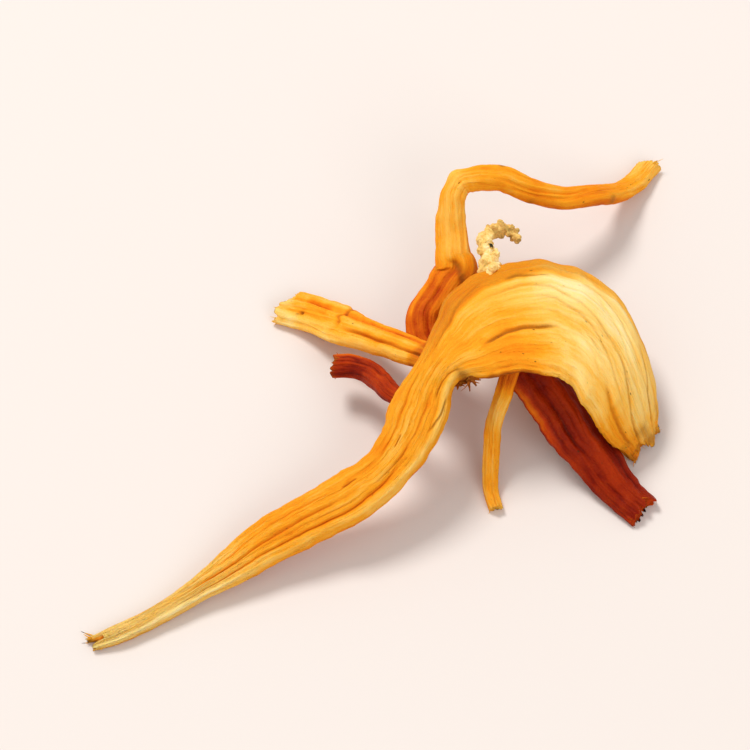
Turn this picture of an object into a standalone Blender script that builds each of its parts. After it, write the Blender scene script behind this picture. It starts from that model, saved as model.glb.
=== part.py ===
"""Dried cordyceps: one clump of fused fruiting bodies, lying on its back on a flat surface.

A broad pale foot bends over like a hood. A long strand leaves its shoulder on the left and ends in
a frayed tail. Five thinner strands grow from the underside of the shoulder, and a curled flake of
mycelium stands on the hood's outer rim. Units are metres, +Z is up, and the surface that the clump
lies on is z = 0. The origin is under the middle of the clump.
"""

import math

import bmesh
import bpy
import numpy as np
from mathutils import Vector

MM = 0.001
COLLECTION = "dried_cordyceps"

# Driving dimensions, in millimetres.
MIDDLE = (0.0, 0.26)            # where the middle of the clump's box falls, which becomes the origin
FORK_GAP = 0.45                 # length of the long strand left out at the main fork, as clearance
FORK_WAY = (0.53, 0.80, 0.27)   # the way the long strand runs as it passes the main fork
STEM_THICKNESS = 1.6            # of the long strand below the shoulder
STEM_BULGE = 0.12               # how far the long strand is domed at the shoulder
HOOD_THICKNESS = 1.15           # of the hood at its middle
HOOD_BULGE = 0.75               # how far the hood's middle is domed above its two edges
HOOD_BULGE_START = 0.15         # how far through its rise the doming is at the shoulder
HOOD_BULGE_FADE = 0.75          # where along the hood, from 0 to 1, the doming starts to fade
HOOD_BULGE_LOSS = 0.7           # the part of the doming that is gone at the torn end

# Points round one section.
RIBBON_SIDES = 20
STRAND_SIDES = 14
THIN_SIDES = 10

# Lengthwise ridges: (height as a part of the thickness, waves across half a face).
RIBBON_RIDGES = (0.16, 5)
STRAND_RIDGES = (0.14, 3)

# A torn edge is one wave of teeth with a finer one on top.
TOOTH_START = 0.8       # where round the edge the first tooth starts, in radians
FINE_TEETH = 7.0        # radians of the finer wave from one point to the next
FINE_SHARE = 0.6        # height of the finer wave beside the main one

SHARP_ANGLE = 60        # degrees between faces from which their edge is shaded as sharp

# The long ribbon is given by its two edges, each (x, y, z) in millimetres, from the frayed tail up
# to the shoulder, with the thickness there. The hood carries on from the shoulder.
TAIL_STATIONS = [
    ((-16.9, -15.5, 0.15), (-16.5, -16.2, 0.15), 0.45),
    ((-15.4, -14.8, 0.3), (-14.9, -15.8, 0.3), 0.8),
    ((-12.8, -13.4, 0.4), (-12.6, -14.6, 0.4), 1.0),
    ((-9.7, -11.0, 1.0), (-8.8, -12.5, 0.8), 1.25),
    ((-7.5, -9.0, 1.5), (-5.9, -11.2, 1.3), 1.45),
    ((-4.4, -7.2, 2.4), (-2.6, -9.7, 2.1), 1.55),
    ((-2.2, -6.1, 3.1), (-0.2, -8.6, 2.8), STEM_THICKNESS),
    ((-0.5, -5.1, 3.7), (1.7, -7.1, 3.5), STEM_THICKNESS),
    ((0.4, -4.1, 4.3), (3.1, -5.5, 4.3), STEM_THICKNESS),
    ((0.8, -2.8, 4.9), (4.2, -3.7, 5.1), STEM_THICKNESS),
]
SHOULDER = ((1.7, -1.2, 5.5), (4.7, -1.75, 5.85), 1.5)
HOOD_STATIONS = [
    ((2.6, 0.2, 5.7), (5.2, -1.4, 6.1), 1.45),
    ((3.5, 2.3, 5.8), (6.2, -1.4, 6.3), 1.35),
    ((4.1, 4.1, 5.8), (7.4, -1.4, 6.4), 1.25),
    ((5.7, 5.5, 5.8), (8.6, -1.3, 6.5), HOOD_THICKNESS),
    ((7.7, 6.5, 5.7), (9.7, -1.3, 6.4), HOOD_THICKNESS),
    ((9.9, 6.9, 5.4), (10.7, -1.5, 6.2), HOOD_THICKNESS),
    ((12.1, 6.4, 5.0), (11.5, -1.9, 5.7), HOOD_THICKNESS),
    ((13.9, 5.4, 4.3), (12.2, -2.5, 4.9), 1.1),
    ((15.2, 3.9, 3.6), (12.9, -3.0, 3.9), 1.05),
    ((16.1, 1.9, 2.7), (13.5, -3.4, 2.8), 0.95),
    ((16.5, 0.2, 1.6), (14.2, -3.6, 1.7), 0.85),
    ((16.6, -1.2, 0.25), (15.0, -3.5, 0.25), 0.7),
]

# The thinner strands are given by their middle line, from root to tip:
# (x, y, z, width, thickness, roll in degrees), lengths in millimetres.
CROOKED_STATIONS = [
    (5.0, 2.1, 4.6, 1.6, 1.1, 0),
    (4.1, 2.9, 3.6, 1.8, 1.2, 0),
    (3.4, 3.7, 2.95, 2.0, 1.3, 0),
    (3.2, 4.6, 2.95, 2.2, 1.5, 0),
    (3.6, 5.5, 3.3, 2.4, 1.5, 0),
    (4.3, 6.4, 3.6, 2.6, 1.5, 5),
    (4.8, 7.2, 4.0, 2.6, 1.4, 5),
    (4.6, 8.0, 4.4, 2.0, 1.4, 5),
    (4.5, 9.0, 4.9, 1.8, 1.3, 0),
    (4.5, 10.2, 5.8, 1.7, 1.2, 0),
    (4.7, 11.1, 6.4, 1.6, 1.2, 0),
    (5.4, 11.8, 6.75, 1.6, 1.2, -10),
    (6.3, 12.1, 6.75, 1.6, 1.2, -20),
    (7.5, 12.1, 6.5, 1.6, 1.2, -20),
    (9.0, 11.8, 5.6, 1.5, 1.2, -10),
    (11.0, 11.9, 4.4, 1.5, 1.1, 10),
    (13.0, 12.9, 3.1, 1.5, 1.1, 25),
    (14.3, 13.9, 1.7, 1.5, 1.1, 15),
    (15.4, 15.2, 0.6, 1.4, 1.0, 5),
    (16.5, 16.4, 0.3, 1.1, 0.9, 0),
]
LEFT_STATIONS = [
    (3.2, 0.8, 4.6, 2.0, 1.1, -8),
    (1.3, 2.5, 3.3, 2.1, 1.3, -4),
    (-0.7, 3.9, 2.3, 2.1, 1.3, 0),
    (-2.6, 5.3, 1.3, 2.2, 1.3, 5),
    (-4.4, 6.5, 0.5, 2.2, 1.2, 5),
    (-5.7, 6.9, 0.35, 2.0, 1.0, 0),
]
DARK_STATIONS = [
    (1.0, -1.5, 4.5, 1.2, 0.8, 0),
    (0.3, -0.2, 3.7, 1.3, 1.0, 0),
    (-0.6, 1.0, 3.0, 1.4, 1.0, 0),
    (-1.5, 1.5, 2.6, 1.4, 1.0, 0),
    (-2.5, 1.6, 2.4, 1.3, 0.9, 0),
]
LEG_STATIONS = [
    (7.3, 1.8, 4.9, 2.5, 1.1, 0),
    (9.0, 0.3, 4.0, 3.2, 1.3, 5),
    (11.0, -1.9, 2.7, 3.4, 1.4, 5),
    (12.5, -3.7, 1.6, 2.7, 1.3, 0),
    (14.3, -5.6, 0.6, 2.5, 1.2, 0),
    (15.8, -7.1, 0.35, 2.2, 1.0, 0),
]
THIN_STATIONS = [
    (7.9, -0.6, 5.6, 1.0, 0.6, 0),
    (7.6, -1.4, 4.7, 1.0, 0.8, 0),
    (7.0, -2.6, 3.1, 0.9, 0.8, 0),
    (6.8, -4.0, 1.6, 0.9, 0.8, 0),
    (6.8, -5.6, 0.35, 0.9, 0.8, 0),
    (7.1, -6.9, 0.25, 0.8, 0.7, 0),
]
TUFT_STATIONS = [
    (6.8, 6.7, 5.65, 1.2, 1.0, 0),
    (6.7, 7.4, 5.6, 1.1, 0.9, 0),
    (6.6, 8.1, 5.5, 1.0, 0.8, 0),
    (6.7, 8.8, 5.4, 0.9, 0.8, 0),
    (7.2, 9.3, 5.25, 0.8, 0.8, 0),
    (7.9, 9.3, 5.1, 0.8, 0.8, 0),
    (8.4, 8.9, 5.0, 0.7, 0.7, 0),
]


def clear_scene():
    """Remove every object that the scene starts with."""
    for item in list(bpy.data.objects):
        bpy.data.objects.remove(item, do_unlink=True)


def smooth_table(stations, count):
    """Rows of numbers read from a smooth curve through the stations, evenly spaced along it."""
    rows = np.array(stations, float)
    steps = np.linalg.norm(np.diff(rows[:, :3], axis=0), axis=1)
    along = np.concatenate([[0.0], np.cumsum(steps)])
    slopes = np.gradient(rows, along, axis=0)
    wanted = np.linspace(0.0, along[-1], count)
    result = []
    for distance in wanted:
        i = int(np.clip(np.searchsorted(along, distance) - 1, 0, len(along) - 2))
        span = along[i + 1] - along[i]
        t = (distance - along[i]) / span
        blend_start = (1 + 2 * t) * (1 - t) ** 2
        blend_end = t * t * (3 - 2 * t)
        pull_start = t * (1 - t) ** 2 * span
        pull_end = t * t * (t - 1) * span
        row = blend_start * rows[i] + blend_end * rows[i + 1]
        row = row + pull_start * slopes[i] + pull_end * slopes[i + 1]
        result.append(row)
    return np.array(result)


def unit(vector):
    return vector / np.linalg.norm(vector)


def placed(point):
    """A point given in millimetres, in metres from the origin, and never below the surface."""
    x, y, z = point
    return Vector((x - MIDDLE[0], y - MIDDLE[1], max(z, 0.0))) * MM


def beside(station, distance):
    """A station moved along the long strand's way."""
    left, right, thickness = station
    step = distance * unit(np.array(FORK_WAY))
    return tuple(left + step), tuple(right + step), thickness


def section(centre, across, up, half_thick, sides, bulge, ridges):
    """One closed section: a flattened oval, domed by bulge, with shallow ridges on both faces."""
    share, waves = ridges
    points = []
    for k in range(sides):
        angle = 2 * math.pi * k / sides
        side = math.cos(angle)
        height = half_thick * math.sin(angle)
        height *= 1 + share * math.cos(waves * math.pi * side)
        dome = bulge * (1 - side * side)
        points.append(centre + across * side + up * (height + dome))
    return points


def fray(points, direction, depth, teeth):
    """Push the points of an end section along the strand by different amounts, as a torn edge."""
    count = len(points)
    torn = []
    for k, point in enumerate(points):
        wave = math.sin(2 * math.pi * teeth * k / count + TOOTH_START)
        wave += FINE_SHARE * math.sin(FINE_TEETH * k)
        torn.append(point + direction * depth * wave)
    return torn


def loft(name, sections, material):
    """A closed skin over a row of sections, flat where it rests on z = 0."""
    mesh = bmesh.new()
    rings = []
    for points in sections:
        ring = []
        for point in points:
            ring.append(mesh.verts.new(placed(point)))
        rings.append(ring)
    sides = len(rings[0])
    for low, high in zip(rings, rings[1:]):
        for k in range(sides):
            after = (k + 1) % sides
            mesh.faces.new((low[k], low[after], high[after], high[k]))
    for ring, ordered in ((rings[0], rings[0][::-1]), (rings[-1], rings[-1])):
        middle = sum((v.co for v in ring), Vector()) / sides
        tip = mesh.verts.new(middle)
        for k in range(sides):
            mesh.faces.new((ordered[k], ordered[(k + 1) % sides], tip))
    bmesh.ops.recalc_face_normals(mesh, faces=mesh.faces)
    return finish(name, mesh, material)


def finish(name, mesh, material):
    """Turn the bmesh into a named, smooth-shaded object with its material."""
    data = bpy.data.meshes.new(name)
    mesh.to_mesh(data)
    mesh.free()
    data.shade_smooth()
    data.set_sharp_from_angle(angle=math.radians(SHARP_ANGLE))
    data.materials.append(material)
    item = bpy.data.objects.new(name, data)
    bpy.data.collections[COLLECTION].objects.link(item)
    return item


def directions(centres):
    """The way the middle line runs at each of its points."""
    return [unit(step) for step in np.gradient(np.array(centres), axis=0)]


def ribbon(name, stations, rings, bulge, material, torn_start=0.0, torn_end=0.0):
    """A broad strand between two given edges. bulge(t) is its doming, t from 0 to 1 along it."""
    rows = []
    for left, right, thickness in stations:
        middle = (np.array(left) + np.array(right)) / 2
        half = (np.array(right) - np.array(left)) / 2
        rows.append([*middle, *half, thickness])
    table = smooth_table(rows, rings)
    ways = directions(table[:, :3])
    sections = []
    for i, (row, way) in enumerate(zip(table, ways)):
        up = unit(np.cross(row[3:6], way))
        t = i / (rings - 1)
        half_thick = row[6] / 2
        sections.append(
            section(row[:3], row[3:6], up, half_thick, RIBBON_SIDES, bulge(t), RIBBON_RIDGES)
        )
    if torn_start:
        sections[0] = fray(sections[0], -ways[0], torn_start, 3)
    if torn_end:
        sections[-1] = fray(sections[-1], ways[-1], torn_end, 5)
    return loft(name, sections, material)


def strand(name, stations, rings, sides, material, torn=0.0):
    """A thin strand along a middle line, oval in section, with a torn or blunt tip."""
    table = smooth_table(stations, rings)
    ways = directions(table[:, :3])
    sections = []
    for row, way in zip(table, ways):
        flat = unit(np.cross(way, (0.0, 0.0, 1.0)))
        upright = np.cross(flat, way)
        roll = math.radians(row[5])
        across = flat * math.cos(roll) + upright * math.sin(roll)
        up = np.cross(across, way)
        half_wide = across * row[3] / 2
        half_thick = row[4] / 2
        sections.append(section(row[:3], half_wide, up, half_thick, sides, 0.0, STRAND_RIDGES))
    if torn:
        sections[-1] = fray(sections[-1], ways[-1], torn, 3)
    return loft(name, sections, material)


def plain(name, colour, roughness):
    """A dry, non-metallic skin of one colour."""
    material = bpy.data.materials.new(name)
    material.use_nodes = True
    shader = material.node_tree.nodes["Principled BSDF"]
    shader.inputs["Base Color"].default_value = (*colour, 1.0)
    shader.inputs["Roughness"].default_value = roughness
    shader.inputs["Metallic"].default_value = 0.0
    return material


def hood_bulge(t):
    """The doming of the hood: slight at the shoulder, full at the crown, less at the torn end."""
    rise = math.sin(math.pi / 2 * min(1.0, HOOD_BULGE_START + t))
    faded = max(0.0, t - HOOD_BULGE_FADE) / (1 - HOOD_BULGE_FADE)
    return HOOD_BULGE * rise * (1 - HOOD_BULGE_LOSS * faded)


def stem_bulge(t):
    """The doming of the long strand: none at its tip, slight at the shoulder."""
    return STEM_BULGE * t


def hooded_foot():
    """The broad pale foot that bends over to the right and down to its ragged end."""
    material = plain("hood_skin", (0.86, 0.50, 0.12), 0.6)
    stations = [beside(SHOULDER, FORK_GAP / 2), *HOOD_STATIONS]
    return ribbon("hooded_foot", stations, rings=30, bulge=hood_bulge, material=material, torn_end=0.22)


def tail_strand():
    """The long flattened strand from the shoulder down to its frayed tip."""
    material = plain("tail_skin", (0.85, 0.36, 0.05), 0.6)
    stations = [*TAIL_STATIONS, beside(SHOULDER, -FORK_GAP / 2)]
    return ribbon("tail_strand", stations, rings=34, bulge=stem_bulge, material=material, torn_start=0.12)


def crooked_strand():
    """The strand that stands out beyond the hood, turns a sharp elbow and comes down again."""
    material = plain("crooked_skin", (0.88, 0.38, 0.05), 0.55)
    return strand("crooked_strand", CROOKED_STATIONS, rings=46, sides=STRAND_SIDES, material=material, torn=0.08)


def left_broken_strand():
    """The short ridged strand to the left, snapped off at a pale end."""
    material = plain("left_skin", (0.84, 0.40, 0.09), 0.6)
    return strand("left_broken_strand", LEFT_STATIONS, rings=22, sides=STRAND_SIDES, material=material, torn=0.16)


def dark_broken_strand():
    """The little dark red stub below it."""
    material = plain("dark_skin", (0.38, 0.06, 0.01), 0.55)
    return strand("dark_broken_strand", DARK_STATIONS, rings=14, sides=THIN_SIDES, material=material, torn=0.1)


def red_leg_strand():
    """The dark red strand that comes out from under the hood and reaches the surface."""
    material = plain("leg_skin", (0.42, 0.07, 0.01), 0.5)
    return strand("red_leg_strand", LEG_STATIONS, rings=24, sides=STRAND_SIDES, material=material, torn=0.14)


def thin_strand():
    """The thread-like strand beside the red one."""
    material = plain("thin_skin", (0.86, 0.42, 0.08), 0.6)
    return strand("thin_strand", THIN_STATIONS, rings=20, sides=THIN_SIDES, material=material)


def mycelium_tuft():
    """The flake of dried mycelium that stands on the hood's rim and curls over at its top."""
    material = plain("tuft_skin", (0.85, 0.74, 0.48), 0.85)
    return strand("mycelium_tuft", TUFT_STATIONS, rings=16, sides=THIN_SIDES, material=material, torn=0.08)


def main():
    clear_scene()
    holder = bpy.data.collections.new(COLLECTION)
    bpy.context.scene.collection.children.link(holder)
    hooded_foot()
    tail_strand()
    crooked_strand()
    left_broken_strand()
    dark_broken_strand()
    red_leg_strand()
    thin_strand()
    mycelium_tuft()


main()
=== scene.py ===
"""The looks of the dried cordyceps clump: finely wrinkled skins that stand in for its CAD strands."""

import math

import bmesh
import bpy
import numpy as np
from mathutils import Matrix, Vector
from mathutils import noise as solid_noise


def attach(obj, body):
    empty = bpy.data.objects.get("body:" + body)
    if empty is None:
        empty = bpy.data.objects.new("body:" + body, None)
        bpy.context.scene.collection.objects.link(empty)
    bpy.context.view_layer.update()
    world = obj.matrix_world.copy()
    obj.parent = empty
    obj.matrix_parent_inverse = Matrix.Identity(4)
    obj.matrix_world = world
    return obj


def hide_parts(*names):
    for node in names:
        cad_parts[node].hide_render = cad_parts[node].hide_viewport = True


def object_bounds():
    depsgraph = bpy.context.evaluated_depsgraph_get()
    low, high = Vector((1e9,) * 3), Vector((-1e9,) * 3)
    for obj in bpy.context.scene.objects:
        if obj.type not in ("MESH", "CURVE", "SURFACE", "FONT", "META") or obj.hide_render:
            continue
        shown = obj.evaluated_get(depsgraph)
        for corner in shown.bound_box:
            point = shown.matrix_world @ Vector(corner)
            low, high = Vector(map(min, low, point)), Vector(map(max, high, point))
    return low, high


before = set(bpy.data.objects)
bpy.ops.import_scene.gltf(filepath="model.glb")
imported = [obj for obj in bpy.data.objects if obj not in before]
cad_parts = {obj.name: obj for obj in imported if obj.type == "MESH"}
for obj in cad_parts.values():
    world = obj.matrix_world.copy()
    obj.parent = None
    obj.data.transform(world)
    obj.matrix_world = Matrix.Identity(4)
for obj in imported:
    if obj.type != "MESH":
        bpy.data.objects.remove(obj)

cad_low, cad_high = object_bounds()

MM = 0.001
TURN = 2 * math.pi

# The strands' routes, in millimetres. They follow the CAD model's closely, but their roots are led
# on so that the skins run into each other under the shoulder.
MIDDLE = (0.0, 0.26)    # the point of the routes' plan that lies over the frame's origin
# A ribbon's station is (left edge, right edge, thickness).
TAIL_STATIONS = [
    ((-16.9, -15.5, 0.15), (-16.5, -16.2, 0.15), 0.45),
    ((-15.4, -14.8, 0.3), (-14.9, -15.8, 0.3), 0.8),
    ((-12.8, -13.4, 0.4), (-12.6, -14.6, 0.4), 1.0),
    ((-9.7, -11.0, 1.0), (-8.8, -12.5, 0.8), 1.25),
    ((-7.5, -9.0, 1.5), (-5.9, -11.2, 1.3), 1.45),
    ((-4.4, -7.2, 2.4), (-2.6, -9.7, 2.1), 1.55),
    ((-2.2, -6.1, 3.1), (-0.2, -8.6, 2.8), 1.6),
    ((-0.5, -5.1, 3.7), (1.7, -7.1, 3.5), 1.6),
    ((0.4, -4.1, 4.3), (3.1, -5.5, 4.3), 1.6),
    ((0.8, -2.8, 4.9), (4.2, -3.7, 5.1), 1.6),
    ((1.7, -1.2, 5.5), (4.7, -1.75, 5.85), 1.5),
]
HOOD_STATIONS = [
    ((2.6, 0.2, 5.7), (5.2, -1.4, 6.1), 1.45),
    ((3.5, 2.3, 5.8), (6.2, -1.4, 6.3), 1.35),
    ((4.1, 4.1, 5.8), (7.4, -1.4, 6.4), 1.25),
    ((5.7, 5.5, 5.8), (8.6, -1.3, 6.5), 1.15),
    ((7.7, 6.5, 5.7), (9.7, -1.3, 6.4), 1.15),
    ((9.9, 6.9, 5.4), (10.7, -1.5, 6.2), 1.15),
    ((12.1, 6.4, 5.0), (11.5, -1.9, 5.7), 1.15),
    ((13.9, 5.4, 4.3), (12.2, -2.5, 4.9), 1.1),
    ((15.2, 3.9, 3.6), (12.9, -3.0, 3.9), 1.05),
    ((16.1, 1.9, 2.7), (13.5, -3.4, 2.8), 0.95),
    ((16.5, 0.2, 1.6), (14.2, -3.6, 1.7), 0.85),
    ((16.6, -1.2, 0.25), (15.0, -3.5, 0.25), 0.7),
]
# A strand's station is (x, y, z, width, thickness, roll in degrees), from root to tip.
CROOKED_STATIONS = [
    (6.0, 1.0, 5.6, 1.6, 0.9, 0),
    (5.2, 1.6, 4.7, 1.7, 1.1, 0),
    (4.3, 2.1, 3.6, 1.8, 1.2, 0),
    (3.4, 2.7, 2.9, 2.0, 1.3, 0),
    (3.0, 3.6, 2.9, 2.2, 1.4, 0),
    (3.0, 4.5, 3.1, 2.3, 1.5, 0),
    (3.5, 5.4, 3.3, 2.4, 1.5, 0),
    (4.3, 6.4, 3.6, 2.6, 1.5, 5),
    (4.8, 7.2, 4.0, 2.6, 1.4, 5),
    (4.6, 8.0, 4.4, 2.0, 1.4, 5),
    (4.5, 9.0, 4.9, 1.8, 1.3, 0),
    (4.5, 10.2, 5.8, 1.75, 1.2, 0),
    (4.6, 11.0, 6.35, 1.65, 1.2, 0),
    (5.0, 11.6, 6.6, 1.5, 1.2, -5),
    (5.8, 11.9, 6.7, 1.55, 1.2, -15),
    (6.7, 12.0, 6.65, 1.65, 1.2, -20),
    (7.5, 12.05, 6.5, 1.65, 1.2, -20),
    (9.0, 11.8, 5.6, 1.5, 1.2, -10),
    (11.0, 11.9, 4.4, 1.5, 1.1, 10),
    (13.0, 12.9, 3.1, 1.5, 1.1, 25),
    (14.3, 13.9, 1.7, 1.5, 1.1, 15),
    (15.4, 15.2, 0.7, 1.4, 1.0, 5),
    (16.3, 16.5, 0.35, 1.25, 0.9, 0),
]
LEFT_STATIONS = [
    (4.6, -0.3, 5.7, 1.9, 0.9, -8),
    (3.2, 0.8, 4.7, 2.1, 1.1, -8),
    (1.3, 2.5, 3.3, 2.1, 1.3, -4),
    (-0.7, 3.9, 2.3, 2.1, 1.3, 0),
    (-2.6, 5.3, 1.3, 2.2, 1.3, 5),
    (-4.4, 6.5, 0.5, 2.2, 1.2, 5),
    (-5.7, 6.9, 0.35, 2.0, 1.0, 0),
]
DARK_STATIONS = [
    (2.2, -2.3, 5.0, 1.2, 0.8, 0),
    (1.0, -1.5, 4.6, 1.2, 0.9, 0),
    (0.3, -0.2, 3.8, 1.3, 1.0, 0),
    (-0.6, 1.0, 3.0, 1.4, 1.0, 0),
    (-1.5, 1.5, 2.6, 1.4, 1.0, 0),
    (-2.5, 1.6, 2.4, 1.3, 0.9, 0),
]
LEG_STATIONS = [
    (6.0, 2.6, 5.9, 2.0, 0.8, 0),
    (7.3, 1.8, 5.0, 2.6, 1.1, 0),
    (9.05, 0.35, 4.1, 3.4, 1.3, 5),
    (11.05, -1.85, 2.8, 3.6, 1.4, 5),
    (12.6, -3.6, 1.6, 2.9, 1.3, 0),
    (14.3, -5.6, 0.6, 2.5, 1.2, 0),
    (15.8, -7.1, 0.35, 2.2, 1.0, 0),
]
THIN_STATIONS = [
    (8.1, 0.1, 6.0, 1.1, 0.7, 0),
    (7.9, -0.6, 5.6, 1.0, 0.7, 0),
    (7.6, -1.4, 4.7, 1.0, 0.8, 0),
    (7.0, -2.6, 3.1, 0.9, 0.8, 0),
    (6.8, -4.0, 1.6, 0.9, 0.8, 0),
    (6.8, -5.6, 0.35, 0.9, 0.8, 0),
    (7.1, -6.9, 0.25, 0.8, 0.7, 0),
]
TUFT_STATIONS = [
    (6.9, 5.9, 6.0, 1.3, 1.0, 0),
    (6.8, 6.7, 5.65, 1.2, 1.0, 0),
    (6.7, 7.4, 5.6, 1.1, 0.9, 0),
    (6.6, 8.1, 5.5, 1.0, 0.8, 0),
    (6.7, 8.8, 5.4, 0.9, 0.8, 0),
    (7.2, 9.3, 5.25, 0.8, 0.8, 0),
    (7.9, 9.3, 5.1, 0.8, 0.8, 0),
    (8.4, 8.9, 5.0, 0.7, 0.7, 0),
]

# Lines in the long ribbon's upper face: where they run as (distance, side), how wide they are in
# side, how deep in millimetres and how brown. Distance is from 0 at the main fork to 1 at the
# hood's torn end, and below 0 down the stem and the tail. Side is -1 on the outer edge, 1 on the inner.
RIBBON_LINES = [
    # The first line is the crease under the fold of the hood's outer band, and its brown is painted
    # shadow.
    (((0.19, 0.43), (0.27, 0.39), (0.35, 0.33), (0.49, 0.33)), 0.032, 0.17, 0.80),
    (((0.22, -0.30), (0.41, -0.42), (0.48, -0.32), (0.64, -0.05), (0.88, 0.20)), 0.032, 0.07, 0.30),
    (((0.35, -0.60), (0.40, -0.63), (0.48, -0.57)), 0.022, 0.06, 0.65),
    (((0.38, -0.22), (0.48, -0.13), (0.62, 0.13), (0.71, 0.35), (0.82, 0.48)), 0.030, 0.06, 0.30),
    (((0.66, 0.53), (0.75, 0.66), (0.84, 0.71), (0.95, 0.76)), 0.050, 0.14, 0.45),
    (((0.74, -0.74), (0.81, -0.54), (0.86, -0.32), (0.97, -0.12)), 0.035, 0.11, 0.60),
    (((0.69, 0.00), (0.78, 0.19), (0.86, 0.38), (0.98, 0.52)), 0.035, 0.09, 0.45),
    (((0.44, -0.74), (0.60, -0.62), (0.75, -0.42), (0.94, -0.22)), 0.024, 0.05, 0.22),
    (((0.52, -0.48), (0.70, -0.28), (0.86, -0.04), (0.97, 0.10)), 0.020, 0.04, 0.15),
    (((0.24, 0.08), (0.42, 0.04), (0.55, 0.18), (0.68, 0.42)), 0.020, 0.04, 0.18),
    (((0.04, -0.45), (0.18, -0.52), (0.34, -0.72)), 0.030, 0.06, 0.20),
    (((-0.16, 0.66), (-0.11, 0.78), (-0.04, 0.86)), 0.035, 0.12, 0.70),
    (((-0.07, 0.52), (0.03, 0.62), (0.10, 0.76)), 0.035, 0.10, 0.45),
    (((-0.24, -0.14), (-0.21, -0.17), (-0.18, -0.17)), 0.030, 0.10, 0.60),
    (((-0.46, -0.30), (-0.43, -0.32), (-0.39, -0.30)), 0.030, 0.10, 0.60),
    (((-0.95, -0.30), (-0.70, -0.42), (-0.45, -0.38)), 0.045, 0.09, 0.12),
    (((-1.10, 0.05), (-0.85, 0.12), (-0.60, 0.05), (-0.38, 0.12)), 0.055, 0.13, 0.18),
    (((-1.15, 0.60), (-0.80, 0.52), (-0.50, 0.58), (-0.22, 0.48)), 0.045, 0.12, 0.18),
    (((-0.40, 0.30), (-0.20, 0.26), (-0.02, 0.34)), 0.045, 0.10, 0.25),
    (((-0.32, -0.52), (-0.12, -0.46), (0.06, -0.50)), 0.045, 0.09, 0.20),
]

# Tone runs from 0, the darkest red, to 1, the palest flesh, and is interpolated between these rows.
# The hood's, by distance from the main fork to its torn end:
HOOD_TONE_AT = (0.0, 0.15, 0.31, 0.38, 0.46, 0.54, 0.69, 0.78, 0.86, 0.93, 1.0)
HOOD_TONE = (0.62, 0.63, 0.69, 0.72, 0.77, 0.80, 0.80, 0.77, 0.76, 0.70, 0.63)
# Painted shade darkens the crooked strand's low tones near its root, where it runs under the other
# strands.
# The crooked strand's, by part of its length from its hidden root to its free tip:
CROOKED_TONE_AT = (0.0, 0.20, 0.25, 0.31, 0.335, 0.36, 0.48,
                   0.53, 0.615, 0.645, 0.70, 0.80, 0.86, 0.93, 1.0)
CROOKED_TONE = (0.29, 0.31, 0.39, 0.43, 0.57, 0.69, 0.68,
                0.59, 0.60, 0.51, 0.59, 0.48, 0.56, 0.66, 0.75)
# The side at which the hood's outer rim, darker with painted shade where it rolls down, begins, by
# distance:
RIM_AT = (0.15, 0.35, 0.45, 0.55, 0.70, 0.85)
RIM_SIDE = (-0.46, -0.58, -0.66, -0.75, -0.90, -1.0)

# How fine the skins are.
ALONG_STEP = 0.095      # millimetres between sections
RIBBON_SIDES = 256      # points round a section of the long ribbon
EVENING = 0.2           # how far a section's points are moved from its thin edges to its broad faces
CAP_SHARES = (0.96, 0.9, 0.82, 0.73, 0.63, 0.53, 0.43, 0.33, 0.23, 0.13, 0.05)  # rings of an end
TEAR_REACH = 1.1        # millimetres of a strand's end that its torn edge pulls along
THREAD_STEPS = 7        # sections of a loose thread
THREAD_CORNERS = 5      # points round each of them

# The doming of the long ribbon.
DOME_HEIGHT = 0.75      # millimetres, at the hood's crown
DOME_START = 0.15       # how much of the rise to the crown is done at the main fork
DOME_LEAST = 0.12       # the share of the height that is kept down the stem and the tail
DOME_FADE = 0.75        # the distance at which the crown starts to flatten
DOME_LOSS = 0.7         # the share of the height that is lost at the torn end

# The flake of mycelium, in millimetres.
FLAKE_STEPS = 90
FLAKE_LUMPS_EACH = 3            # lumps at each step along it
FLAKE_SPREAD = (0.20, 0.16, 0.24)   # how far they stray, as shares of its width and thickness
FLAKE_LUMP_RADII = (0.14, 0.34)
FLAKE_VOXEL = 0.045
FLAKE_ROUGHNESS = 0.09
SPECK_STEP = 38                 # the step that the dark speck lies beside
SPECK_OFF = (0.15, -0.25, 0.40)     # how far it lies from that step
SPECK_RADII = (0.18, 0.28)      # where it starts to fade and where it has faded

# Camera, floor and light. Lengths are in metres, the elevation in degrees, the lens in millimetres.
CAMERA_ELEVATION = 60
CAMERA_LENS = 500
SEEN_WIDTH = 0.044      # across the picture, at the middle of the clump
FLOOR_HALF = 2.0
FLOOR_COLOUR = (0.785, 0.725, 0.692)
ROOM_COLOUR = (1.0, 0.97, 0.94)
ROOM_STRENGTH = 0.60
# A lamp is (name, place, width of its disc, power in watts, colour) and is aimed at the origin.
LAMPS = [
    ("key", (-0.26, 0.34, 0.64), 0.26, 3.9, (1.0, 0.98, 0.95)),
    ("fill", (0.40, -0.60, 0.60), 0.60, 2.0, (1.0, 0.98, 0.96)),
]


# ---------- noise and smooth steps

def smoothstep(low, high, value):
    t = np.clip((value - low) / (high - low), 0.0, 1.0)
    return t * t * (3 - 2 * t)


def bump_at(value, centre, width):
    return np.exp(-(((value - centre) / width) ** 2))


def lattice_noise(u, v, wrap, seed):
    """Smooth noise from -1 to 1. v repeats after wrap cells, so it closes round a strand."""
    rows = 512
    table = np.random.default_rng(seed).uniform(-1.0, 1.0, (rows, wrap))
    cell_u = np.floor(u).astype(int)
    cell_v = np.floor(v).astype(int)
    part_u = u - cell_u
    part_v = v - cell_v
    part_u = part_u * part_u * (3 - 2 * part_u)
    part_v = part_v * part_v * (3 - 2 * part_v)
    a = table[cell_u % rows, cell_v % wrap]
    b = table[(cell_u + 1) % rows, cell_v % wrap]
    c = table[cell_u % rows, (cell_v + 1) % wrap]
    d = table[(cell_u + 1) % rows, (cell_v + 1) % wrap]
    low = a + (b - a) * part_u
    high = c + (d - c) * part_u
    return low + (high - low) * part_v


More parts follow.
